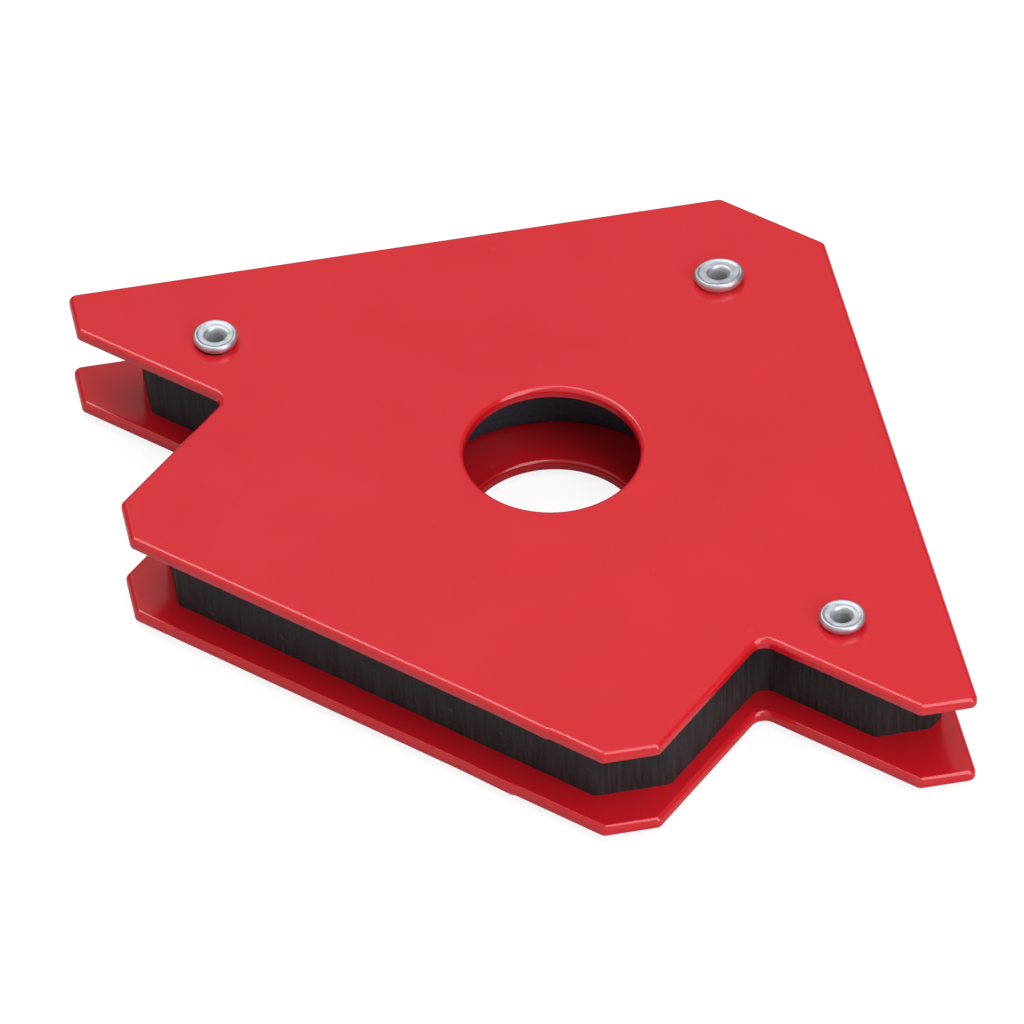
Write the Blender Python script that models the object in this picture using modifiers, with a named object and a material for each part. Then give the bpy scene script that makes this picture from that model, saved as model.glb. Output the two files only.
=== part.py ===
"""Arrow-shaped magnetic welding holder, lying flat.

Two steel plates sandwich a ring magnet and a foam filler, and three tubular
rivets hold the stack together around hard spacer sleeves.

Units are metres and +Z is up. The origin is on the surface that the holder
lies on, under the middle of its outline. +X runs from barb to barb and +Y
points at the apex of the arrow.
"""
import math

import bpy
from mathutils import Vector

# Driving dimensions of the outline, measured up from the straight base edge.
SPAN = 0.1200                 # barb tip to barb tip
DEPTH = 0.0820                # base edge to apex flat
APEX_FLAT = 0.0140            # width of the flat at the apex
SHAFT_WIDTH = 0.0704          # width below the barbs
SHOULDER_HEIGHT = 0.0243      # base edge to the underside of the barbs
TIP_CHAMFER = 0.0045          # 45 degree cut at each barb tip
BASE_CHAMFER = 0.0044         # 45 degree cut at each base corner
CORNER_RADIUS = 0.0009
NOTCH_RADIUS = 0.0016

# Stack, from the outside in.
PLATE_THICKNESS = 0.0014
PLATE_EDGE_ROUND = 0.0003
PLATE_SPACING = 0.0096        # clear distance between the two plates
GAP = 0.0003                  # clearance between neighbouring pieces

# Central hole and the magnet around it.
HOLE_HEIGHT = 0.0368          # base edge to the middle of the hole
HOLE_RADIUS = 0.00975
MAGNET_OUTER_RADIUS = 0.0280
MAGNET_BORE_RADIUS = 0.0160
MAGNET_EDGE_CHAMFER = 0.0005

# Filler, set back from the edges of the plates.
FILLER_SIDE_INSET = 0.0018
FILLER_BASE_INSET = 0.0034
FILLER_BASE_CHAMFER = 0.0060
FILLER_SHOULDER_INSET = 0.0029
FILLER_TIP_INSET = 0.0075
FILLER_CORNER_RADIUS = 0.0010

# Tubular rivets and their sleeves.
RIVET_SHANK_RADIUS = 0.0018
RIVET_BORE_RADIUS = 0.0013
RIVET_MOUTH_ROUND = 0.0004    # rounding where the head rolls into the bore
RIVET_HEAD_THICKNESS = 0.0008
SLEEVE_WALL = 0.0004
RIVET_HOLE_RADIUS = RIVET_SHANK_RADIUS + GAP
SLEEVE_BORE_RADIUS = RIVET_SHANK_RADIUS + GAP
SLEEVE_OUTER_RADIUS = SLEEVE_BORE_RADIUS + SLEEVE_WALL
FILLER_RIVET_HOLE_RADIUS = SLEEVE_OUTER_RADIUS + GAP

# Heights of the stack above the surface.
HEAD_PROUD = RIVET_HEAD_THICKNESS + GAP
BACK_PLATE_BOTTOM = HEAD_PROUD
BACK_PLATE_TOP = BACK_PLATE_BOTTOM + PLATE_THICKNESS
FRONT_PLATE_BOTTOM = BACK_PLATE_TOP + PLATE_SPACING
FRONT_PLATE_TOP = FRONT_PLATE_BOTTOM + PLATE_THICKNESS
TOTAL_HEIGHT = FRONT_PLATE_TOP + HEAD_PROUD
MIDDLE_HEIGHT = TOTAL_HEIGHT / 2
CORE_THICKNESS = PLATE_SPACING - 2 * GAP

# Places in the plan view.
BASE_Y = -DEPTH / 2
APEX_Y = DEPTH / 2
HOLE_CENTRE = Vector((0.0, BASE_Y + HOLE_HEIGHT))
SIDE_RIVET_X = 0.0414
SIDE_RIVET_HEIGHT = 0.0311
APEX_RIVET_HEIGHT = 0.0700
RIVETS = {
    "apex": (Vector((0.0, BASE_Y + APEX_RIVET_HEIGHT)), 0.0027),
    "left": (Vector((-SIDE_RIVET_X, BASE_Y + SIDE_RIVET_HEIGHT)), 0.00245),
    "right": (Vector((SIDE_RIVET_X, BASE_Y + SIDE_RIVET_HEIGHT)), 0.00245),
}

# Fineness of the round shapes.
CORNER_STEPS = 4
HOLE_STEPS = 48
RIVET_HOLE_STEPS = 20
MAGNET_STEPS = 64
RIVET_STEPS = 24
SLEEVE_STEPS = 20
PROFILE_ARC_STEPS = 3

# Colour, roughness and metallic value of each finish.
RED_COAT = ((0.60, 0.035, 0.05), 0.3, 0.0)
BLACK_FOAM = ((0.02, 0.02, 0.022), 0.85, 0.0)
FERRITE = ((0.03, 0.03, 0.035), 0.5, 0.2)
BRIGHT_ZINC = ((0.62, 0.62, 0.63), 0.3, 1.0)
TURNED_STEEL = ((0.45, 0.45, 0.46), 0.45, 1.0)


def clear_scene():
    for old in list(bpy.data.objects):
        bpy.data.objects.remove(old, do_unlink=True)


def make_collection(name):
    collection = bpy.data.collections.new(name)
    bpy.context.scene.collection.children.link(collection)
    return collection


def make_material(name, finish):
    colour, roughness, metallic = finish
    material = bpy.data.materials.new(name)
    material.use_nodes = True
    shader = material.node_tree.nodes["Principled BSDF"]
    shader.inputs["Base Color"].default_value = (*colour, 1.0)
    shader.inputs["Roughness"].default_value = roughness
    shader.inputs["Metallic"].default_value = metallic
    material.diffuse_color = (*colour, 1.0)
    return material


def mirrored(right_half):
    """The closed outline of a shape whose right half runs from the base to the apex."""
    left_half = [(-x, y, radius) for x, y, radius in reversed(right_half)]
    return right_half + left_half


def plate_corners():
    """Corners of the plate as x, y and rounding radius, right half first."""
    tip_x = SPAN / 2
    shaft_x = SHAFT_WIDTH / 2
    shoulder_y = BASE_Y + SHOULDER_HEIGHT
    round_off = CORNER_RADIUS
    return mirrored([
        (shaft_x - BASE_CHAMFER, BASE_Y, round_off),
        (shaft_x, BASE_Y + BASE_CHAMFER, round_off),
        (shaft_x, shoulder_y, NOTCH_RADIUS),
        (tip_x - TIP_CHAMFER, shoulder_y, round_off),
        (tip_x, shoulder_y + TIP_CHAMFER, round_off),
        (APEX_FLAT / 2, APEX_Y, round_off),
    ])


def filler_corners():
    """Corners of the filler: the plate's outline set back, furthest at the barb tips."""
    tip_x = SPAN / 2 - FILLER_TIP_INSET
    shaft_x = SHAFT_WIDTH / 2 - FILLER_SIDE_INSET
    base_y = BASE_Y + FILLER_BASE_INSET
    shoulder_y = BASE_Y + SHOULDER_HEIGHT + FILLER_SHOULDER_INSET
    apex_y = APEX_Y - FILLER_SIDE_INSET
    # x + y is constant along the 45 degree edge of the plate and of the filler
    diagonal = APEX_FLAT / 2 + APEX_Y - FILLER_SIDE_INSET * math.sqrt(2)
    round_off = FILLER_CORNER_RADIUS
    return mirrored([
        (shaft_x - FILLER_BASE_CHAMFER, base_y, round_off),
        (shaft_x, base_y + FILLER_BASE_CHAMFER, round_off),
        (shaft_x, shoulder_y, NOTCH_RADIUS),
        (tip_x - TIP_CHAMFER, shoulder_y, round_off),
        (tip_x, shoulder_y + TIP_CHAMFER, round_off),
        (tip_x, diagonal - tip_x, round_off),
        (diagonal - apex_y, apex_y, round_off),
    ])


def rounded_outline(corners):
    """Points of a closed outline with each corner replaced by an arc of its radius."""
    points = []
    for index, (x, y, radius) in enumerate(corners):
        corner = Vector((x, y))
        before = Vector(corners[index - 1][:2])
        after = Vector(corners[(index + 1) % len(corners)][:2])
        arrive = (corner - before).normalized()
        leave = (after - corner).normalized()
        turn = arrive.angle_signed(leave)
        side = -1.0 if turn > 0 else 1.0
        setback = radius * math.tan(abs(turn) / 2)
        start = corner - arrive * setback
        centre = start + Vector((-arrive.y, arrive.x)) * radius * side
        spoke = start - centre
        for step in range(CORNER_STEPS + 1):
            angle = side * abs(turn) * step / CORNER_STEPS
            turned = Vector((
                spoke.x * math.cos(angle) - spoke.y * math.sin(angle),
                spoke.x * math.sin(angle) + spoke.y * math.cos(angle),
            ))
            points.append(centre + turned)
    return points


def circle(centre, radius, steps):
    """Points of a round hole, wound against the outline around it."""
    points = []
    for step in range(steps):
        angle = -2 * math.pi * step / steps
        points.append(centre + Vector((math.cos(angle), math.sin(angle))) * radius)
    return points


def add_closed_spline(curve, points):
    spline = curve.splines.new("POLY")
    spline.points.add(len(points) - 1)
    for target, point in zip(spline.points, points):
        target.co = (point.x, point.y, 0.0, 1.0)
    spline.use_cyclic_u = True


def flat_piece(name, loops, thickness, edge_round, middle_z, material, collection):
    """A flat piece cut to closed loops, with its long edges rounded."""
    curve = bpy.data.curves.new(name, "CURVE")
    curve.dimensions = "2D"
    curve.fill_mode = "BOTH"
    curve.extrude = thickness / 2 - edge_round
    curve.bevel_depth = edge_round
    curve.bevel_resolution = 1
    curve.offset = -edge_round
    for loop in loops:
        add_closed_spline(curve, loop)
    piece = bpy.data.objects.new(name, curve)
    piece.location.z = middle_z
    curve.materials.append(material)
    collection.objects.link(piece)
    return piece


def turned_piece(name, profile, steps, centre, material, collection):
    """A closed profile of radius and height turned about the vertical axis."""
    mesh = bpy.data.meshes.new(name)
    vertices = [(radius, 0.0, height) for radius, height in profile]
    edges = [(index, (index + 1) % len(profile)) for index in range(len(profile))]
    mesh.from_pydata(vertices, edges, [])
    mesh.materials.append(material)
    piece = bpy.data.objects.new(name, mesh)
    piece.location = (centre.x, centre.y, 0.0)
    collection.objects.link(piece)
    screw = piece.modifiers.new("turn", "SCREW")
    screw.axis = "Z"
    screw.steps = steps
    screw.render_steps = steps
    screw.use_merge_vertices = True
    screw.merge_threshold = 0.00001
    screw.use_smooth_shade = True
    return piece


def profile_arc(centre_radius, centre_height, radius, start_degrees, end_degrees):
    points = []
    for step in range(PROFILE_ARC_STEPS + 1):
        share = step / PROFILE_ARC_STEPS
        angle = math.radians(start_degrees + (end_degrees - start_degrees) * share)
        points.append((
            centre_radius + radius * math.cos(angle),
            centre_height + radius * math.sin(angle),
        ))
    return points


def rivet_head_profile(head_radius):
    """The upper head, from the bore over the top and round to the shank."""
    half = RIVET_HEAD_THICKNESS / 2
    mouth = RIVET_MOUTH_ROUND
    bore_lip = profile_arc(
        RIVET_BORE_RADIUS + mouth, TOTAL_HEIGHT - mouth, mouth, 180, 90)
    rim = profile_arc(head_radius - half, TOTAL_HEIGHT - half, half, 90, -90)
    underside = [(RIVET_SHANK_RADIUS, TOTAL_HEIGHT - RIVET_HEAD_THICKNESS)]
    return bore_lip + rim + underside


def make_rivet(place, material, collection):
    centre, head_radius = RIVETS[place]
    upper = rivet_head_profile(head_radius)
    lower = [(radius, TOTAL_HEIGHT - height) for radius, height in reversed(upper)]
    return turned_piece(
        "rivet_" + place, upper + lower, RIVET_STEPS, centre, material, collection)


def make_sleeve(place, material, collection):
    centre = RIVETS[place][0]
    half = CORE_THICKNESS / 2
    profile = [
        (SLEEVE_BORE_RADIUS, MIDDLE_HEIGHT + half),
        (SLEEVE_OUTER_RADIUS, MIDDLE_HEIGHT + half),
        (SLEEVE_OUTER_RADIUS, MIDDLE_HEIGHT - half),
        (SLEEVE_BORE_RADIUS, MIDDLE_HEIGHT - half),
    ]
    return turned_piece(
        "sleeve_" + place, profile, SLEEVE_STEPS, centre, material, collection)


def make_magnet(material, collection):
    half = CORE_THICKNESS / 2
    cut = MAGNET_EDGE_CHAMFER
    top = MIDDLE_HEIGHT + half
    bottom = MIDDLE_HEIGHT - half
    profile = [
        (MAGNET_BORE_RADIUS, top - cut),
        (MAGNET_BORE_RADIUS + cut, top),
        (MAGNET_OUTER_RADIUS - cut, top),
        (MAGNET_OUTER_RADIUS, top - cut),
        (MAGNET_OUTER_RADIUS, bottom + cut),
        (MAGNET_OUTER_RADIUS - cut, bottom),
        (MAGNET_BORE_RADIUS + cut, bottom),
        (MAGNET_BORE_RADIUS, bottom + cut),
    ]
    return turned_piece(
        "ring_magnet", profile, MAGNET_STEPS, HOLE_CENTRE, material, collection)


def rivet_holes(radius):
    return [circle(centre, radius, RIVET_HOLE_STEPS) for centre, _ in RIVETS.values()]


def make_plate(name, bottom_z, material, collection):
    loops = [rounded_outline(plate_corners()), circle(HOLE_CENTRE, HOLE_RADIUS, HOLE_STEPS)]
    loops += rivet_holes(RIVET_HOLE_RADIUS)
    middle_z = bottom_z + PLATE_THICKNESS / 2
    return flat_piece(
        name, loops, PLATE_THICKNESS, PLATE_EDGE_ROUND, middle_z, material, collection)


def make_filler(material, collection):
    magnet_seat = circle(HOLE_CENTRE, MAGNET_OUTER_RADIUS + GAP, MAGNET_STEPS)
    loops = [rounded_outline(filler_corners()), magnet_seat]
    loops += rivet_holes(FILLER_RIVET_HOLE_RADIUS)
    return flat_piece(
        "foam_filler", loops, CORE_THICKNESS, 0.0, MIDDLE_HEIGHT, material, collection)


def main():
    clear_scene()
    holder = make_collection("welding_magnet_holder")
    make_plate("back_plate", BACK_PLATE_BOTTOM, make_material("back_coat", RED_COAT), holder)
    make_plate("front_plate", FRONT_PLATE_BOTTOM, make_material("front_coat", RED_COAT), holder)
    make_filler(make_material("foam", BLACK_FOAM), holder)
    make_magnet(make_material("ferrite", FERRITE), holder)
    for place in RIVETS:
        make_rivet(place, make_material("zinc_" + place, BRIGHT_ZINC), holder)
        make_sleeve(place, make_material("sleeve_steel_" + place, TURNED_STEEL), holder)


main()
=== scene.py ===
"""Looks of the welding magnet holder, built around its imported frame.

Every length is in metres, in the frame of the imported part: the holder lies
flat, +X runs from barb to barb, +Y points at the apex and +Z is up.
"""
import math

import bpy
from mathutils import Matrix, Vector, geometry, noise


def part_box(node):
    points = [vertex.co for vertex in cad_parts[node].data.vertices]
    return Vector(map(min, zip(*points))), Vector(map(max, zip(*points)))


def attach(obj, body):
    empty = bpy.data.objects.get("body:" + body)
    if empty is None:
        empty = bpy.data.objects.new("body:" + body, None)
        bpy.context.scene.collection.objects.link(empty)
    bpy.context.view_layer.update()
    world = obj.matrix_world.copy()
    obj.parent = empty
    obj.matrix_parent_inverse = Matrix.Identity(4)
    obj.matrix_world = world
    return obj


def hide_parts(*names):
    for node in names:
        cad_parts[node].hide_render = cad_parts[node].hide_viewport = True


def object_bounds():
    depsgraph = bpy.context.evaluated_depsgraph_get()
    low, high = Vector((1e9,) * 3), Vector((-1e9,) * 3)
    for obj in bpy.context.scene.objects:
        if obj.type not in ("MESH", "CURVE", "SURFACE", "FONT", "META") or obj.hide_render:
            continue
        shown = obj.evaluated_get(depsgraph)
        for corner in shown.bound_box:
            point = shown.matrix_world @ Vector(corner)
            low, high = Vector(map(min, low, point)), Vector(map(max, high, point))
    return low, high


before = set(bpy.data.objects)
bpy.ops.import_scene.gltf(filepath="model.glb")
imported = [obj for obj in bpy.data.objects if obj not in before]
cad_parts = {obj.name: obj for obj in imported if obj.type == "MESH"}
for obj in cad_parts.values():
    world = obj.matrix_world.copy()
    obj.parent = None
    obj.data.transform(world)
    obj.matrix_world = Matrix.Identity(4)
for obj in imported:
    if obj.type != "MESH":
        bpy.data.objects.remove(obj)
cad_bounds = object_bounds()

# Outline shared by the plates and the filler, measured up from the base edge.
SPAN = 0.1200
DEPTH = 0.0820
APEX_FLAT = 0.0140
SHAFT_WIDTH = 0.0704
SHOULDER_HEIGHT = 0.0243
TIP_CHAMFER = 0.0045
BASE_CHAMFER = 0.0044
BASE_Y = -DEPTH / 2
APEX_Y = DEPTH / 2
CORNER_RADIUS = 0.0009
NOTCH_RADIUS = 0.0016
CORNER_STEPS = 10

# Plates.
UPPER_ROUND = 0.00062         # the blank is sheared: its upper edge rolls over
LOWER_ROUND = 0.00030         # and its lower edge is only softened by the coat
EDGE_ROUND_STEPS = 8
HOLE_RADIUS = 0.00975
HOLE_STEPS = 160
RIVET_HOLE_RADIUS = 0.0021
DISH_RADIUS = 0.0046          # the clench pulls the sheet in around each rivet
DISH_DEPTH = 0.00009
DISH_RINGS = 8
DISH_STEPS = 72

# Step where the cut of the blank starts and ends, along the base edge.
FRONT_CUT_START_X = 0.0240
BACK_CUT_START_X = 0.0193
CUT_STEP = 0.00016
CUT_GROOVE = 0.00005
CUT_STEP_HALF_WIDTH = 0.00035
CUT_STEP_FADE = 0.0080        # length over which the proud side falls back in line
CUT_STEP_POINTS = 10          # on each half of the step
CUT_FADE_POINTS = 30

# Filler.
FILLER_SIDE_INSET = 0.0018
FILLER_BASE_INSET = 0.0034
FILLER_BASE_CHAMFER = 0.0060
FILLER_SHOULDER_INSET = 0.0029
FILLER_TIP_INSET = 0.0075
FILLER_CORNER_RADIUS = 0.0010
FILLER_SPACING = 0.00014      # between points along its cut face
FILLER_LEVELS = 14
FILLER_RIVET_HOLE_RADIUS = 0.0028
FILLER_SQUEEZE = 0.00012      # how far the face's middle bulges past its ends
SEAT_CLEARANCE = 0.0002

# Magnet.
MAGNET_OUTER_RADIUS = 0.0280
MAGNET_BORE_RADIUS = 0.0160
MAGNET_EDGE_CUT = 0.0004
MAGNET_CHIP = 0.00006
MAGNET_BORE_RINGS = 6
MAGNET_STEPS = 240

# Rivets: the head's reach, how far it is off the shank's axis, its tilt, how far it is
# from round and the angle of its widest way across.
RIVET_BORE_RADIUS = 0.00097   # a little squeezed by the clench
RIVET_BORE_DEPTH = 0.0040     # below it, the bore is in line with the shank
RIVET_SHANK_RADIUS = 0.0018
RIVET_STEPS = 96
RIVET_PROFILE_STEPS = 4       # between the points that shape a head
RIVET_HEAD_SLACK = 0.00005    # kept free of the ends of the rivet's box
RIVET_ROLL = 0.0009           # from the bore to where the rolled rim is fully out of round
RIVET_RIPPLE = 0.00001
LOWER_HEAD_OUT_OF_ROUND = 0.01
# Within these radii of a rivet's axis the bore turns to flat grey: dull unplated metal, and painted
# light that lifts the deep bore.
BORE_PAINTED_LIGHT_RADIUS = RIVET_BORE_RADIUS + 0.00004
BRIGHT_ZINC_RADIUS = RIVET_BORE_RADIUS + 0.00016
RIVET_HEADS = {
    "apex": (0.00270, (0.00036, 0.00024), 0.050, 0.040, 0.87),
    "left": (0.00252, (-0.00006, 0.00028), 0.015, 0.012, 2.2),
    "right": (0.00247, (-0.00002, -0.00004), 0.015, 0.015, 0.2),
}

SEAM = 0.00004                # how far a seated piece sinks into its neighbour's skin


class Shell:
    """A mesh put together from rings of points, with its own shading normals."""

    def __init__(self):
        self.points = []
        self.normals = []
        self.faces = []

    def ring(self, points, normals):
        first = len(self.points)
        self.points.extend(points)
        self.normals.extend(normals)
        return list(range(first, len(self.points)))

    def bridge(self, upper, lower):
        """Quads between two closed rings that run with the material on their left."""
        count = len(upper)
        for index in range(count):
            after = (index + 1) % count
            self.faces.append((upper[index], lower[index], lower[after], upper[after]))

    def cap(self, rings, up):
        """A flat face between an outline and the holes inside it."""
        order = [index for ring in rings for index in ring]
        loops = [[self.points[index] for index in ring] for ring in rings]
        # the triangles all wind the same way, so their sum tells which, even for one with no area
        triangles = []
        facing = 0.0
        for triangle in geometry.tessellate_polygon(loops):
            a, b, c = (order[corner] for corner in triangle)
            facing += (self.points[b] - self.points[a]).cross(self.points[c] - self.points[a]).z
            triangles.append((a, b, c))
        for a, b, c in triangles:
            self.faces.append((a, b, c) if (facing > 0) == up else (a, c, b))

    def build(self, name, own_normals=True):
        mesh = bpy.data.meshes.new(name)
        mesh.from_pydata(self.points, [], self.faces)
        mesh.shade_smooth()
        if own_normals:
            mesh.normals_split_custom_set_from_vertices(self.normals)
        piece = bpy.data.objects.new(name, mesh)
        bpy.context.scene.collection.objects.link(piece)
        return piece


def mirrored(right_half):
    left_half = [(-x, y, radius) for x, y, radius in reversed(right_half)]
    return right_half + left_half


def plate_corners():
    tip_x = SPAN / 2
    shaft_x = SHAFT_WIDTH / 2
    shoulder_y = BASE_Y + SHOULDER_HEIGHT
    return mirrored([
        (shaft_x - BASE_CHAMFER, BASE_Y, CORNER_RADIUS),
        (shaft_x, BASE_Y + BASE_CHAMFER, CORNER_RADIUS),
        (shaft_x, shoulder_y, NOTCH_RADIUS),
        (tip_x - TIP_CHAMFER, shoulder_y, CORNER_RADIUS),
        (tip_x, shoulder_y + TIP_CHAMFER, CORNER_RADIUS),
        (APEX_FLAT / 2, APEX_Y, CORNER_RADIUS),
    ])


def filler_corners():
    tip_x = SPAN / 2 - FILLER_TIP_INSET
    shaft_x = SHAFT_WIDTH / 2 - FILLER_SIDE_INSET
    base_y = BASE_Y + FILLER_BASE_INSET
    shoulder_y = BASE_Y + SHOULDER_HEIGHT + FILLER_SHOULDER_INSET
    apex_y = APEX_Y - FILLER_SIDE_INSET
    diagonal = APEX_FLAT / 2 + APEX_Y - FILLER_SIDE_INSET * math.sqrt(2)
    radius = FILLER_CORNER_RADIUS
    return mirrored([
        (shaft_x - FILLER_BASE_CHAMFER, base_y, radius),
        (shaft_x, base_y + FILLER_BASE_CHAMFER, radius),
        (shaft_x, shoulder_y, NOTCH_RADIUS),
        (tip_x - TIP_CHAMFER, shoulder_y, radius),
        (tip_x, shoulder_y + TIP_CHAMFER, radius),
        (tip_x, diagonal - tip_x, radius),
        (diagonal - apex_y, apex_y, radius),
    ])


def rounded_outline(corners):
    """Points of a closed outline with each corner replaced by an arc of its radius."""
    points = []
    for index, (x, y, radius) in enumerate(corners):
        corner = Vector((x, y))
        before = Vector(corners[index - 1][:2])
        after = Vector(corners[(index + 1) % len(corners)][:2])
        arrive = (corner - before).normalized()
        leave = (after - corner).normalized()
        turn = arrive.angle_signed(leave)
        side = -1.0 if turn > 0 else 1.0
        start = corner - arrive * radius * math.tan(abs(turn) / 2)
        centre = start + Vector((-arrive.y, arrive.x)) * radius * side
        spoke = start - centre
        for step in range(CORNER_STEPS + 1):
            angle = side * abs(turn) * step / CORNER_STEPS
            points.append(centre + Vector((
                spoke.x * math.cos(angle) - spoke.y * math.sin(angle),
                spoke.x * math.sin(angle) + spoke.y * math.cos(angle),
            )))
    return points


def circle(centre, radius, steps):
    """A hole's outline, with the material on the left as on the outer outline."""
    points = []
    for step in range(steps):
        angle = -2 * math.pi * step / steps
        points.append(centre + Vector((math.cos(angle), math.sin(angle))) * radius)
    return points


def resampled(points, spacing):
    """The same closed outline with evenly spaced points, and the distance to each."""
    closed = points + [points[0]]
    lengths = [(b - a).length for a, b in zip(closed, closed[1:])]
    total = sum(lengths)
    count = round(total / spacing)
    result = []
    segment, walked = 0, 0.0
    for index in range(count):
        target = total * index / count
        while walked + lengths[segment] < target:
            walked += lengths[segment]
            segment += 1
        share = (target - walked) / lengths[segment]
        result.append(closed[segment].lerp(closed[segment + 1], share))
    return result, [total * index / count for index in range(count)]


def inward(points):
    """At each point of a loop, the step that moves it one unit into the material."""
    steps = []
    for index, point in enumerate(points):
        before = points[index - 1]
        after = points[(index + 1) % len(points)]
        arrive = (point - before).normalized()
        leave = (after - point).normalized()
        across = Vector((-arrive.y, arrive.x))
        middle = (across + Vector((-leave.y, leave.x))).normalized()
        steps.append(middle / middle.dot(across))
    return steps


def with_cut_start(outline, start_x):
    """The outline with the small step that is left where its cut starts and ends.

    The side towards -X stands proud of the base edge, with a fine groove at the step.
    """
    result = []
    for index, point in enumerate(outline):
        result.append(point)
        after = outline[(index + 1) % len(outline)]
        on_base = abs(point.y - BASE_Y) < 1e-6 and abs(after.y - BASE_Y) < 1e-6
        if not (on_base and point.x < start_x < after.x):
            continue
        for step in range(-CUT_STEP_POINTS - CUT_FADE_POINTS, CUT_STEP_POINTS + 1):
            if step >= -CUT_STEP_POINTS:
                offset = CUT_STEP_HALF_WIDTH * step / CUT_STEP_POINTS
            else:
                share = (step + CUT_STEP_POINTS) / CUT_FADE_POINTS
                offset = (CUT_STEP_FADE - CUT_STEP_HALF_WIDTH) * share - CUT_STEP_HALF_WIDTH
            groove = CUT_GROOVE * (1 + math.cos(math.pi * min(abs(offset) / CUT_STEP_HALF_WIDTH, 1))) / 2
            fall = min(max((1 - offset / CUT_STEP_HALF_WIDTH) / 2, 0), 1)
            fade = max(1 + min(offset, 0) / CUT_STEP_FADE, 0)
            proud = CUT_STEP * fall * fall * (3 - 2 * fall) * fade * fade * (3 - 2 * fade)
            result.append(Vector((start_x + offset, BASE_Y + groove - proud)))
    return result


def rounded_edge_profile(bottom, top):
    """Inset, height and normal tilt down a wall with a rounded edge at each end."""
    upper = []
    lower = []
    for step in range(EDGE_ROUND_STEPS + 1):
        tilt = math.pi / 2 * step / EDGE_ROUND_STEPS
        inset = 1 - math.sin(tilt)
        drop = 1 - math.cos(tilt)
        upper.append((UPPER_ROUND * inset, top - UPPER_ROUND * drop, tilt))
        lower.append((LOWER_ROUND * inset, bottom + LOWER_ROUND * drop, math.pi - tilt))
    return upper + lower[::-1]


def add_wall(shell, loop, profile, cut_start_x=None):
    """A wall along a loop. Returns its first and last ring, which border the flat faces.

    Around the start of the cut, points move straight in, so that the wall doesn't fold.
    """
    steps = inward(loop)
    travels = list(steps)
    if cut_start_x is not None:
        for index, point in enumerate(loop):
            along = cut_start_x - CUT_STEP_FADE <= point.x <= cut_start_x + CUT_STEP_HALF_WIDTH
            if along and point.y < BASE_Y + CUT_STEP:
                travels[index] = Vector((0.0, 1.0))
    rings = []
    for inset, height, tilt in profile:
        points = []
        normals = []
        for point, step, travel in zip(loop, steps, travels):
            moved = point + travel * inset
            outward = -step.normalized() * math.sin(tilt)
            points.append(Vector((moved.x, moved.y, height)))
            normals.append(Vector((outward.x, outward.y, math.cos(tilt))))
        rings.append(shell.ring(points, normals))
    for upper, lower in zip(rings, rings[1:]):
        shell.bridge(upper, lower)
    return rings[0], rings[-1]


def dish_profile(bottom, top):
    """Radius, height and slope of the sheet where a clenched rivet pulls it in."""
    upper = []
    for ring in range(DISH_RINGS + 1):
        share = ring / DISH_RINGS
        radius = DISH_RADIUS + (RIVET_HOLE_RADIUS - DISH_RADIUS) * share
        depth = DISH_DEPTH * (1 - math.cos(math.pi * share)) / 2
        slope = DISH_DEPTH * math.pi / 2 * math.sin(math.pi * share) / (DISH_RADIUS - RIVET_HOLE_RADIUS)
        upper.append((radius, top - depth, math.atan(slope)))
    lower = [(radius, bottom + top - height, math.pi - tilt) for radius, height, tilt in reversed(upper)]
    return upper + lower


def add_dish(shell, centre, bottom, top):
    rings = []
    for radius, height, tilt in dish_profile(bottom, top):
        points = []
        normals = []
        for spoke in circle(Vector((0.0, 0.0)), 1.0, DISH_STEPS):
            points.append(Vector((centre.x + spoke.x * radius, centre.y + spoke.y * radius, height)))
            inward_lean = -math.sin(tilt)
            normals.append(Vector((spoke.x * inward_lean, spoke.y * inward_lean, math.cos(tilt))))
        rings.append(shell.ring(points, normals))
    for upper, lower in zip(rings, rings[1:]):
        shell.bridge(upper, lower)
    return rings[0], rings[-1]


def node_centre(node):
    low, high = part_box(node)
    return (low + high) / 2


def flat(vector):
    return Vector((vector.x, vector.y))


def make_plate(node, cut_start_x, material):
    low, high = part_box(node)
    shell = Shell()
    outline = with_cut_start(rounded_outline(plate_corners()), cut_start_x)
    hole = circle(flat(node_centre("ring_magnet")), HOLE_RADIUS, HOLE_STEPS)
    profile = rounded_edge_profile(low.z, high.z)
    borders = [add_wall(shell, outline, profile, cut_start_x), add_wall(shell, hole, profile)]
    for place in RIVET_HEADS:
        borders.append(add_dish(shell, flat(node_centre("rivet_" + place)), low.z, high.z))
    shell.cap([upper for upper, lower in borders], True)
    shell.cap([lower for upper, lower in borders], False)
    piece = shell.build(node + "_coated")
    finish_piece(piece, material, node)
    return piece


def finish_piece(piece, material, node):
    piece.data.materials.append(material)
    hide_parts(node)
    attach(piece, "root")


# Marks on the foam's cut face: how quickly each changes around the face and up it, where
# it starts in the noise, and its depth. All but the pores run up the face.
CUT_MARKS = {
    "fine": (2300, 90, (0, 0), 0.00005),
    "medium": (800, 60, (3, 7), 0.00005),
    "broad": (110, 40, (9, 2), 0.00007),
    "pores": (1900, 2100, (5, 1), 0.000022),
}


def cut_face_offset(distance, total, height):
    """How far the foam's cut face stands out at a point, from the marks of its cutting."""
    angle = 2 * math.pi * distance / total
    reach = total / (2 * math.pi)
    around = Vector((math.cos(angle) * reach, math.sin(angle) * reach, 0.0))
    offset = 0.0
    for along, up, (start_x, start_y), depth in CUT_MARKS.values():
        offset += depth * noise.noise(around * along + Vector((start_x, start_y, height * up)))
    return offset


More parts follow.
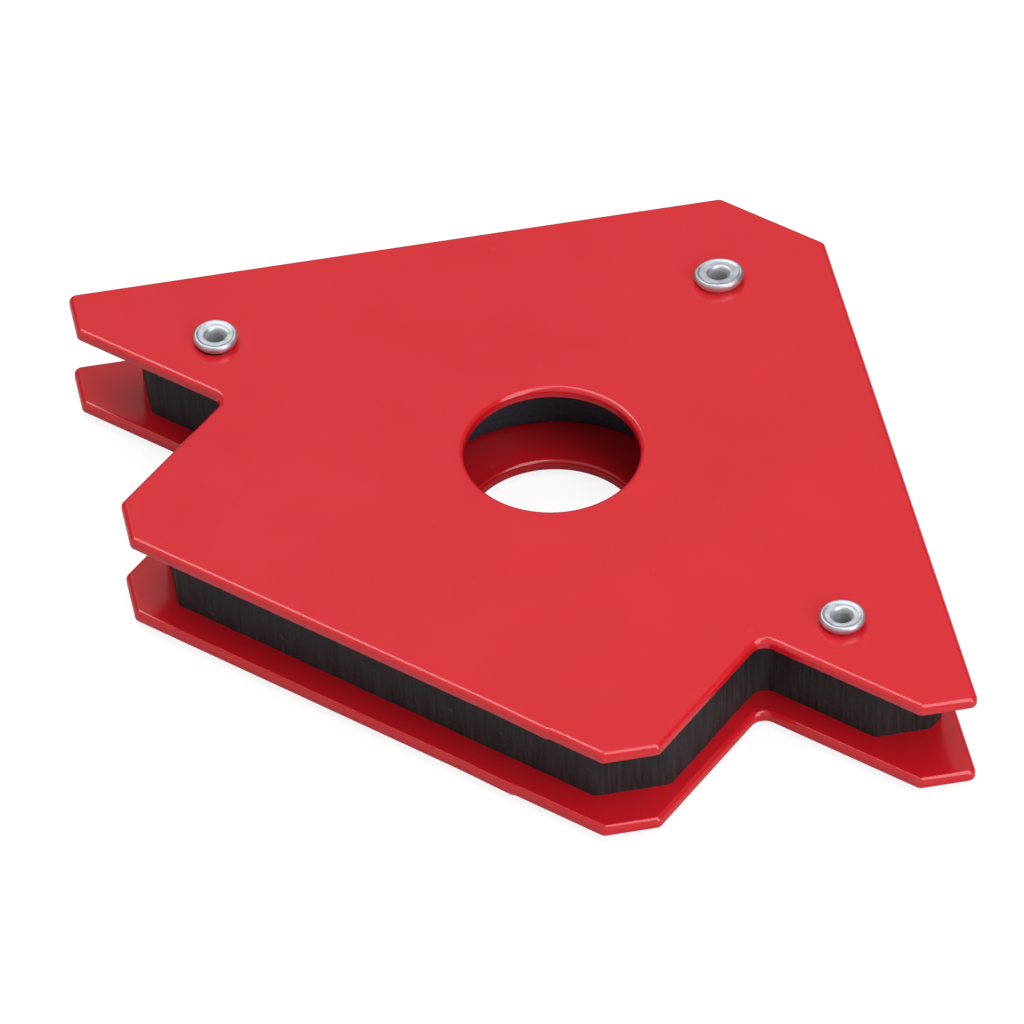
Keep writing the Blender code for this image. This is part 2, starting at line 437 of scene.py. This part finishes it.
def make_filler(material):
    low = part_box("back_plate")[1].z - SEAM
    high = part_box("front_plate")[0].z + SEAM
    shell = Shell()
    outline, distances = resampled(rounded_outline(filler_corners()), FILLER_SPACING)
    steps = inward(outline)
    total = distances[-1] + FILLER_SPACING
    rings = []
    for level in range(FILLER_LEVELS + 1):
        share = level / FILLER_LEVELS
        height = high + (low - high) * share
        squeeze = FILLER_SQUEEZE * (1 - math.sin(math.pi * share))
        points = []
        for point, step, distance in zip(outline, steps, distances):
            moved = point + step * (squeeze - cut_face_offset(distance, total, height))
            points.append(Vector((moved.x, moved.y, height)))
        rings.append(shell.ring(points, points))
    for upper, lower in zip(rings, rings[1:]):
        shell.bridge(upper, lower)
    seat_radius = MAGNET_OUTER_RADIUS + SEAT_CLEARANCE
    holes = [circle(flat(node_centre("ring_magnet")), seat_radius, MAGNET_STEPS)]
    for place in RIVET_HEADS:
        centre = flat(node_centre("rivet_" + place))
        holes.append(circle(centre, FILLER_RIVET_HOLE_RADIUS, DISH_STEPS))
    borders = [add_wall(shell, hole, [(0, high, math.pi / 2), (0, low, math.pi / 2)]) for hole in holes]
    shell.cap([rings[0]] + [upper for upper, lower in borders], True)
    shell.cap([rings[-1]] + [lower for upper, lower in borders], False)
    piece = shell.build("foam_filler_cut", own_normals=False)
    piece.data.set_sharp_from_angle(angle=math.radians(50))
    finish_piece(piece, material, "foam_filler")
    return piece


def make_magnet(material):
    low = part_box("back_plate")[1].z + SEAM
    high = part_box("front_plate")[0].z - SEAM
    centre = node_centre("ring_magnet")
    cut = MAGNET_EDGE_CUT
    profile = [
        (MAGNET_BORE_RADIUS, high - cut), (MAGNET_BORE_RADIUS + 0.3 * cut, high - 0.3 * cut),
        (MAGNET_BORE_RADIUS + cut, high), (MAGNET_OUTER_RADIUS - cut, high),
        (MAGNET_OUTER_RADIUS, high - cut), (MAGNET_OUTER_RADIUS, low + cut),
        (MAGNET_OUTER_RADIUS - cut, low), (MAGNET_BORE_RADIUS + cut, low),
        (MAGNET_BORE_RADIUS + 0.3 * cut, low + 0.3 * cut), (MAGNET_BORE_RADIUS, low + cut),
    ]
    for step in range(1, MAGNET_BORE_RINGS):
        height = low + cut + (high - low - 2 * cut) * step / MAGNET_BORE_RINGS
        profile.append((MAGNET_BORE_RADIUS, height))
    shell = Shell()
    rings = []
    for radius, height in profile:
        points = []
        for spoke in circle(Vector((0.0, 0.0)), 1.0, MAGNET_STEPS):
            chip = noise.noise(Vector((spoke.x * 14, spoke.y * 14, height * 900)))
            chipped = radius + MAGNET_CHIP * chip
            points.append(Vector((centre.x + spoke.x * chipped, centre.y + spoke.y * chipped, height)))
        rings.append(shell.ring(points, points))
    for upper, lower in zip(rings, rings[1:] + rings[:1]):
        shell.bridge(lower, upper)
    piece = shell.build("ring_magnet_ground", own_normals=False)
    piece.data.set_sharp_from_angle(angle=math.radians(30))
    finish_piece(piece, material, "ring_magnet")
    return piece


def smooth_value(before, start, end, after, t):
    """The Catmull-Rom curve's value a share t of the way from start to end."""
    square = 2 * before - 5 * start + 4 * end - after
    cube = 3 * start - before - 3 * end + after
    return 0.5 * (2 * start + (end - before) * t + square * t * t + cube * t ** 3)


def smooth_line(points, steps):
    """Points of a smooth line through the given ones."""
    line = []
    padded = [points[0]] + points + [points[-1]]
    for four in zip(padded, padded[1:], padded[2:], padded[3:]):
        for step in range(steps):
            line.append(tuple(smooth_value(*values, step / steps) for values in zip(*four)))
    return line + [points[-1]]


def head_profile(reach, height):
    """Radius and height above the sheet of a clenched head, from the bore outwards.

    The tube rounds over into a narrow shelf inside a thick rolled rim.
    """
    return smooth_line([
        (RIVET_BORE_RADIUS, -RIVET_BORE_DEPTH),
        (RIVET_BORE_RADIUS, 0.10 * height),
        (RIVET_BORE_RADIUS + 0.00003, 0.38 * height),
        (RIVET_BORE_RADIUS + 0.00010, 0.62 * height),
        (RIVET_BORE_RADIUS + 0.00021, 0.79 * height),
        (RIVET_BORE_RADIUS + 0.00037, 0.88 * height),
        (RIVET_BORE_RADIUS + 0.00056, 0.90 * height),
        (reach - 0.00064, 0.90 * height),
        (reach - 0.00048, 0.94 * height),
        (reach - 0.00032, height),
        (reach - 0.00013, 0.94 * height),
        (reach, 0.68 * height),
        (reach - 0.00006, 0.38 * height),
        (reach - 0.00030, 0.08 * height),
        (reach - 0.00060, -0.04 * height),
        (RIVET_SHANK_RADIUS, -0.06 * height),
    ], RIVET_PROFILE_STEPS)


def rivet_ring(radius, height, head_height, offset, tilt, lobes, widest):
    """One ring of a rivet. The upset end leans, and its rolled rim isn't quite round."""
    rolled = max(0.0, min((radius - RIVET_BORE_RADIUS) / RIVET_ROLL, 1.0))
    risen = max(0.0, min(1.0 + height / RIVET_BORE_DEPTH, 1.0))
    points = []
    for spoke in circle(Vector((0.0, 0.0)), 1.0, RIVET_STEPS):
        angle = math.atan2(spoke.y, spoke.x)
        lobe = math.cos(2 * (angle - widest)) + 0.2 * math.cos(5 * angle + widest)
        reach = radius * (1 + lobes * rolled * lobe)
        x = spoke.x * reach
        y = spoke.y * reach
        above = max(0.0, min(height / head_height, 1.0))
        ripple = RIVET_RIPPLE * rolled * above * math.cos(7 * angle + widest)
        lift = tilt * (x - y) * above + ripple
        points.append((x + offset[0] * risen, y + offset[1] * risen, height + lift))
    return points


def make_rivet(place, material):
    reach, offset, tilt, lobes, widest = RIVET_HEADS[place]
    low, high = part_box("rivet_" + place)
    centre = (low + high) / 2
    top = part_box("front_plate")[1].z - DISH_DEPTH
    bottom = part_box("back_plate")[0].z + DISH_DEPTH
    upper_height = high.z - top - RIVET_HEAD_SLACK
    lower_height = bottom - low.z - RIVET_HEAD_SLACK
    shell = Shell()
    rings = []
    for radius, height in head_profile(reach, upper_height):
        ring = rivet_ring(radius, height, upper_height, offset, tilt, lobes, widest)
        points = [Vector((centre.x + x, centre.y + y, top + z)) for x, y, z in ring]
        rings.append(shell.ring(points, []))
    for radius, height in reversed(head_profile(high.x - centre.x, lower_height)):
        ring = rivet_ring(
            radius, height, lower_height, (0.0, 0.0), 0.0, LOWER_HEAD_OUT_OF_ROUND, widest + 1.0)
        points = [Vector((centre.x + x, centre.y + y, bottom - z)) for x, y, z in ring]
        rings.append(shell.ring(points, []))
    for above, below in zip(rings, rings[1:] + rings[:1]):
        shell.bridge(below, above)
    piece = shell.build("rivet_" + place + "_clenched", own_normals=False)
    finish_piece(piece, material, "rivet_" + place)
    return piece


TEXTURE_TURN = 0.39


class Nodes:
    """A short way to write a node material."""

    def __init__(self, name):
        self.material = bpy.data.materials.new(name)
        self.material.use_nodes = True
        self.tree = self.material.node_tree
        self.shader = self.tree.nodes["Principled BSDF"]
        self.coordinates = self.add("ShaderNodeTexCoord").outputs["Object"]

    def add(self, kind, inputs=None, **settings):
        node = self.tree.nodes.new(kind)
        for key, value in settings.items():
            setattr(node, key, value)
        for key, value in (inputs or {}).items():
            if isinstance(value, bpy.types.NodeSocket):
                self.tree.links.new(value, node.inputs[key])
            else:
                node.inputs[key].default_value = value
        return node

    def set(self, key, value):
        if isinstance(value, bpy.types.NodeSocket):
            self.tree.links.new(value, self.shader.inputs[key])
        else:
            self.shader.inputs[key].default_value = value

    def vector(self, operation, *values):
        return self.add("ShaderNodeVectorMath", dict(enumerate(values)), operation=operation)

    def stretched(self, scale):
        """Coordinates at another scale, turned so that no side runs along the texture's grid."""
        inputs = {"Vector": self.coordinates, "Scale": scale, "Rotation": (0.0, 0.0, TEXTURE_TURN)}
        return self.add("ShaderNodeMapping", inputs).outputs[0]

    def noise(self, scale, detail=2.0, roughness=0.5, vector=None):
        inputs = {"Scale": scale, "Detail": detail, "Roughness": roughness}
        inputs["Vector"] = vector or self.coordinates
        return self.add("ShaderNodeTexNoise", inputs).outputs["Fac"]

    def remap(self, value, low, high, to_low, to_high):
        inputs = {"Value": value, "From Min": low, "From Max": high, "To Min": to_low, "To Max": to_high}
        return self.add("ShaderNodeMapRange", inputs).outputs["Result"]

    def mix(self, factor, first, second):
        node = self.add("ShaderNodeMix", data_type="RGBA")
        sockets = (node.inputs[0], node.inputs[6], node.inputs[7])    # the colour mix's own three
        for socket, value in zip(sockets, (factor, first, second)):
            if isinstance(value, bpy.types.NodeSocket):
                self.tree.links.new(value, socket)
            else:
                socket.default_value = value
        return node.outputs[2]

    def blend(self, value, low, high, first, second):
        """The first colour where the value is low, turning to the second where it is high."""
        return self.mix(self.remap(value, low, high, 0, 1), first, second)

    def bump(self, height, distance, strength=1.0, normal=None):
        inputs = {"Height": height, "Distance": distance, "Strength": strength}
        if normal is not None:
            inputs["Normal"] = normal
        return self.add("ShaderNodeBump", inputs).outputs["Normal"]


def powder_coat(name):
    """Glossy red powder coat: a slight orange peel, faint flow patches and dust nibs."""
    nodes = Nodes(name)
    patches = nodes.noise(70, 3.0)
    red = nodes.blend(patches, 0.35, 0.65, (0.635, 0.0085, 0.0165, 1), (0.660, 0.0100, 0.0190, 1))
    nibs = nodes.remap(nodes.noise(520, 1.0), 0.77, 0.81, 0, 0.2)
    nodes.set("Base Color", nodes.mix(nibs, red, (0.66, 0.06, 0.07, 1)))
    nodes.set("Roughness", nodes.remap(nodes.noise(160, 3.0), 0.3, 0.7, 0.11, 0.17))
    nodes.set("IOR", 1.6)
    peel = nodes.bump(nodes.noise(950, 2.0), 0.000006)
    nodes.set("Normal", nodes.bump(nodes.noise(3600, 1.0), 0.0000008, 1.0, peel))
    return nodes.material


def cut_foam(name):
    """Black closed-cell foam: streaks up its cut face, open cells and a few pale crumbs."""
    nodes = Nodes(name)
    streaks = nodes.noise(1, 3.0, 0.6, nodes.stretched((2600, 2600, 170)))
    cells = nodes.add("ShaderNodeTexVoronoi", {"Vector": nodes.coordinates, "Scale": 2600})
    tone = nodes.blend(streaks, 0.3, 0.75, (0.009, 0.009, 0.011, 1), (0.034, 0.033, 0.037, 1))
    crumbs = nodes.remap(nodes.noise(1500, 0.0), 0.80, 0.84, 0, 0.25)
    nodes.set("Base Color", nodes.mix(crumbs, tone, (0.10, 0.10, 0.105, 1)))
    nodes.set("Roughness", nodes.remap(streaks, 0.3, 0.7, 0.55, 0.75))
    nodes.set("Specular IOR Level", 0.35)
    lines = nodes.bump(streaks, 0.00006, 0.8)
    nodes.set("Normal", nodes.bump(cells.outputs["Distance"], 0.00005, 0.5, lines))
    return nodes.material


def ground_ferrite(name):
    """Sintered ferrite with a ground bore: blue-black, fine grain, faint drag marks."""
    nodes = Nodes(name)
    grain = nodes.noise(2400, 4.0, 0.6)
    drag = nodes.noise(1, 2.0, 0.5, nodes.stretched((90, 90, 2600)))
    tone = nodes.blend(grain, 0.3, 0.7, (0.016, 0.042, 0.056, 1), (0.031, 0.078, 0.100, 1))
    nodes.set("Base Color", tone)
    nodes.set("Roughness", nodes.remap(drag, 0.3, 0.7, 0.34, 0.5))
    nodes.set("Normal", nodes.bump(drag, 0.00001, 0.6, nodes.bump(grain, 0.00001, 0.6)))
    return nodes.material


def zinc(name, seed, place):
    """Bright zinc plate on a clenched tube, with burnish marks; its bore is a flat non-metal grey: dull
    unplated metal, and painted light that makes the deep bore lighter than its lighting would.
    """
    nodes = Nodes(name)
    centre = node_centre("rivet_" + place)
    offset = RIVET_HEADS[place][1]
    axis = (centre.x + offset[0], centre.y + offset[1], 0.0)
    spoke = nodes.vector("SUBTRACT", nodes.coordinates, axis).outputs[0]
    level_spoke = nodes.vector("MULTIPLY", spoke, (1.0, 1.0, 0.0)).outputs[0]
    radius = nodes.vector("LENGTH", level_spoke).outputs["Value"]
    # Painted light: the bore is a flat non-metal grey so that it reads lighter than the deep metal bore
    # would. It is also dull unplated metal.
    grey_bore_painted_light = nodes.remap(radius, BORE_PAINTED_LIGHT_RADIUS, BRIGHT_ZINC_RADIUS, 1, 0)
    spangle = nodes.noise(900 + 40 * seed, 3.0, 0.6)
    burnish = nodes.noise(1, 2.0, 0.5, nodes.stretched((5200, 5200, 900)))
    tone = nodes.blend(spangle, 0.3, 0.7, (0.57, 0.60, 0.65, 1), (0.70, 0.72, 0.76, 1))
    nodes.set("Base Color", nodes.mix(grey_bore_painted_light, tone, (0.42, 0.42, 0.43, 1)))
    nodes.set("Metallic", nodes.remap(grey_bore_painted_light, 0, 1, 1.0, 0.1))
    nodes.set("Roughness", nodes.remap(spangle, 0.3, 0.7, 0.42, 0.58))
    nodes.set("Normal", nodes.bump(burnish, 0.000008, 0.7))
    return nodes.material


def turned_steel(name, seed):
    """Plain turned steel of the hidden sleeves, with its lathe rings."""
    nodes = Nodes(name)
    rings = nodes.noise(1, 2.0, 0.5, nodes.stretched((60, 60, 5200 + 90 * seed)))
    tone = nodes.blend(rings, 0.3, 0.7, (0.36, 0.36, 0.37, 1), (0.50, 0.50, 0.51, 1))
    nodes.set("Base Color", tone)
    nodes.set("Metallic", 1.0)
    nodes.set("Roughness", nodes.remap(rings, 0.3, 0.7, 0.30, 0.48))
    nodes.set("Normal", nodes.bump(rings, 0.00001, 0.8))
    return nodes.material


FLOOR_SIZE = 8.0
FLOOR_GLOW = 0.86             # lifts the floor to near white


def make_floor():
    """The pale floor: near white to look at, a softer grey in the light that it returns."""
    nodes = Nodes("pale_floor")
    seen = nodes.add("ShaderNodeLightPath").outputs["Is Camera Ray"]
    grain = nodes.noise(30, 2.0)
    pale = nodes.mix(grain, (0.21, 0.21, 0.21, 1), (0.23, 0.23, 0.23, 1))
    nodes.set("Base Color", nodes.mix(seen, (0.56, 0.56, 0.56, 1), pale))
    nodes.set("Roughness", 0.9)
    nodes.set("Specular IOR Level", 0.0)
    nodes.set("Emission Color", (1.0, 1.0, 1.0, 1.0))
    nodes.set("Emission Strength", nodes.remap(seen, 0.0, 1.0, 0.0, FLOOR_GLOW))
    bpy.ops.mesh.primitive_plane_add(size=FLOOR_SIZE, location=(0.0, 0.0, 0.0))
    floor = bpy.context.object
    floor.name = "floor"
    floor.data.materials.append(nodes.material)


# Directions are given as the camera sees them: azimuth to its right, and elevation.
CAMERA_AZIMUTH = math.radians(34.83)
CAMERA_ELEVATION = 43.51
CAMERA_ROLL = math.radians(1.58)
CAMERA_DISTANCE = 0.9588
CAMERA_LENS = 304.0

# The room's light: where it comes from, by azimuth and elevation, and its strengths.
ROOM_BRIGHT_SIDE = (-40.0, 25.0)
ROOM_DIM = 0.14
ROOM_BRIGHT = 0.58
CARD_PLACE = (180.0, 55.0)
CARD_BRIGHT = 0.50
BACKDROP_BRIGHT = 0.92

# Softboxes: azimuth, elevation, distance, width and height, power in watts.
SOFTBOXES = {
    "back_softbox": (-145, 63, 0.9, (0.50, 0.50), 2.75),
    "front_softbox": (43, 40, 0.5, (0.28, 0.95), 2.56),
}


def direction(azimuth, elevation):
    """Unit vector from the holder towards a place at an azimuth from the camera's."""
    turn = CAMERA_AZIMUTH + math.radians(azimuth)
    level = math.cos(math.radians(elevation))
    return Vector((math.sin(turn) * level, -math.cos(turn) * level, math.sin(math.radians(elevation))))


def aim(item, place, target):
    item.location = place
    item.rotation_euler = (place - target).to_track_quat("Z", "Y").to_euler()


def seen_middle():
    """The point that the camera looks at for the holder to fill its view evenly."""
    view = direction(0.0, CAMERA_ELEVATION)
    across = Vector((0.0, 0.0, 1.0)).cross(view).normalized()
    up = view.cross(across)
    low, high = cad_bounds
    rim = [Vector((x, y, z)) for x, y, radius in plate_corners() for z in (low.z, high.z)]
    target = (low + high) / 2
    for axis in (across, up):
        reach = [point.dot(axis) for point in rim]
        target += axis * ((min(reach) + max(reach)) / 2 - target.dot(axis))
    return target


def make_camera():
    data = bpy.data.cameras.new("camera")
    data.lens = CAMERA_LENS
    data.clip_start = 0.01
    camera = bpy.data.objects.new("camera", data)
    bpy.context.scene.collection.objects.link(camera)
    target = seen_middle()
    aim(camera, target + direction(0.0, CAMERA_ELEVATION) * CAMERA_DISTANCE, target)
    camera.rotation_euler.rotate_axis("Z", -CAMERA_ROLL)
    bpy.context.scene.camera = camera


def make_softbox(name, azimuth, elevation, distance, size, power):
    data = bpy.data.lights.new(name, "AREA")
    data.shape = "RECTANGLE"
    data.size, data.size_y = size
    data.energy = power
    light = bpy.data.objects.new(name, data)
    bpy.context.scene.collection.objects.link(light)
    light.visible_camera = False
    target = (cad_bounds[0] + cad_bounds[1]) / 2
    aim(light, target + direction(azimuth, elevation) * distance, target)


def make_world():
    """A dim room, paler on the camera's side, with a card behind the holder for its gloss."""
    world = bpy.data.worlds.new("studio")
    bpy.context.scene.world = world
    world.use_nodes = True
    tree = world.node_tree

    def remapped(value, *limits):
        node = tree.nodes.new("ShaderNodeMapRange")
        node.interpolation_type = "SMOOTHSTEP"
        for socket, limit in zip(("From Min", "From Max", "To Min", "To Max"), limits):
            if isinstance(limit, float):
                node.inputs[socket].default_value = limit
            else:
                tree.links.new(limit, node.inputs[socket])
        tree.links.new(value, node.inputs["Value"])
        return node.outputs["Result"]

    def facing(azimuth, elevation):
        node = tree.nodes.new("ShaderNodeVectorMath")
        node.operation = "DOT_PRODUCT"
        node.inputs[1].default_value = direction(azimuth, elevation)
        tree.links.new(tree.nodes.new("ShaderNodeTexCoord").outputs["Generated"], node.inputs[0])
        return node.outputs["Value"]

    room = remapped(facing(*ROOM_BRIGHT_SIDE), 0.0, 0.9, ROOM_DIM, ROOM_BRIGHT)
    card = remapped(facing(*CARD_PLACE), 0.78, 0.94, room, CARD_BRIGHT)
    seen = tree.nodes.new("ShaderNodeLightPath").outputs["Is Camera Ray"]
    strength = remapped(seen, 0.0, 1.0, card, BACKDROP_BRIGHT)
    tree.links.new(strength, tree.nodes["Background"].inputs["Strength"])
    tree.nodes["Background"].inputs["Color"].default_value = (1.0, 1.0, 1.0, 1.0)


def main():
    make_camera()
    make_plate("back_plate", BACK_CUT_START_X, powder_coat("red_powder_coat_back"))
    make_plate("front_plate", FRONT_CUT_START_X, powder_coat("red_powder_coat_front"))
    make_filler(cut_foam("black_foam"))
    make_magnet(ground_ferrite("ferrite"))
    for number, place in enumerate(RIVET_HEADS):
        make_rivet(place, zinc("bright_zinc_" + place, number, place))
        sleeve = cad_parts["sleeve_" + place]
        sleeve.material_slots[0].material = turned_steel("turned_steel_" + place, number)
    make_floor()
    for name, settings in SOFTBOXES.items():
        make_softbox(name, *settings)
    make_world()
    bpy.context.scene.view_settings.view_transform = "Standard"


main()
